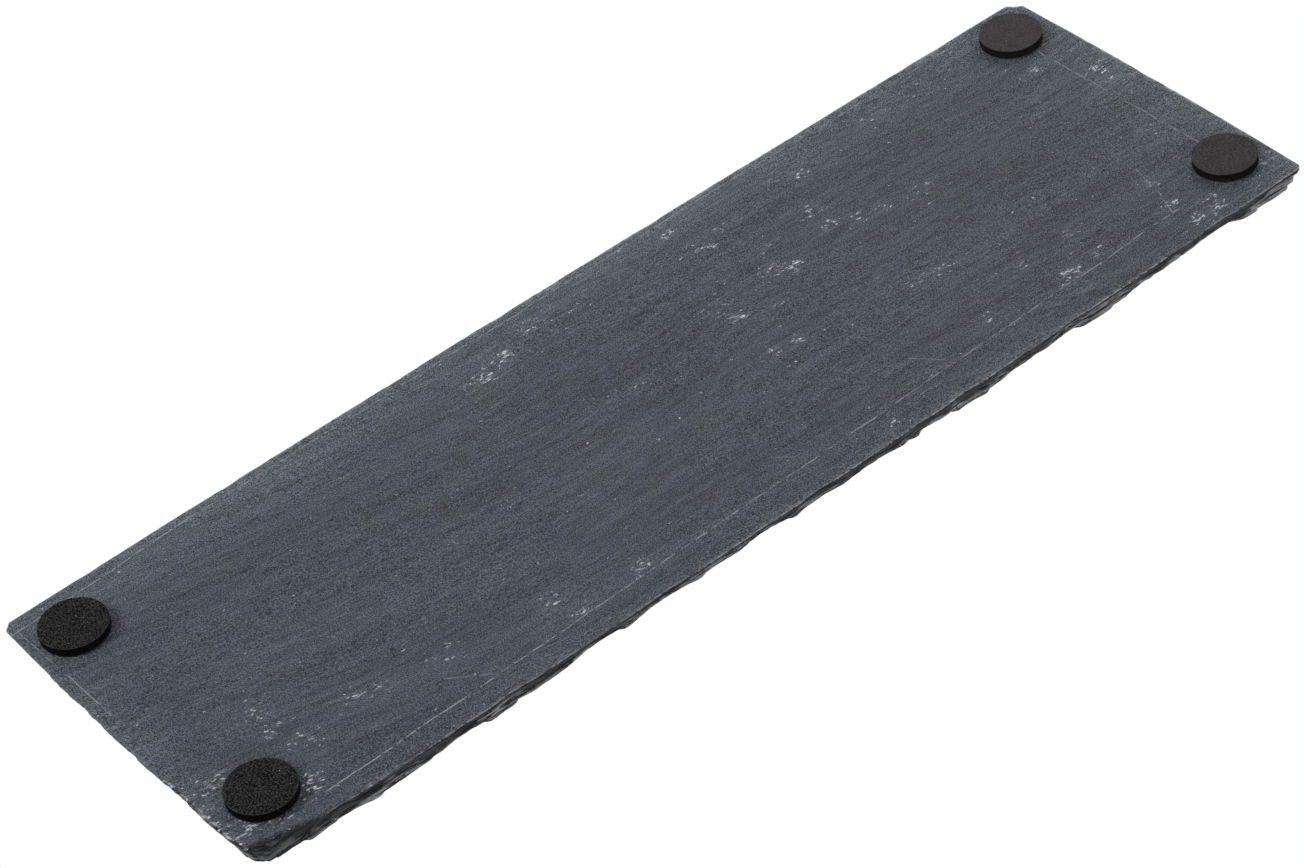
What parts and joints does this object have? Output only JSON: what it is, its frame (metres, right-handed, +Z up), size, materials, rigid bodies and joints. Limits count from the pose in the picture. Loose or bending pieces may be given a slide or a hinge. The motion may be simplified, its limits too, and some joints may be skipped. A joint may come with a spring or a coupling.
{
  "type": "slate serving board",
  "caption": "Long flat slate board with hand-dressed, scalloped edges, standing on round foam feet near its corners, for serving and presenting food.",
  "frame": {"origin": "middle of the plane that the feet stand on", "axes": "+X along the board, +Y across it, +Z up through the serving face"},
  "size_m": [0.3, 0.1, 0.0076],
  "materials": {
    "slate": "matt riven slate, blue-grey, with fine cleavage grain and pale bruised chips",
    "foam": "matt black closed-cell foam, fine cut cells",
    "adhesive": "thin smoky grey double-sided adhesive film"
  },
  "bodies": {
    "root": {"slate_slab": "slate", "foot_pad_front_left": "foam", "foot_pad_front_right": "foam", "foot_pad_back_left": "foam", "foot_pad_back_right": "foam", "adhesive_front_left": "adhesive", "adhesive_front_right": "adhesive", "adhesive_back_left": "adhesive", "adhesive_back_right": "adhesive"}
  },
  "joints": []
}
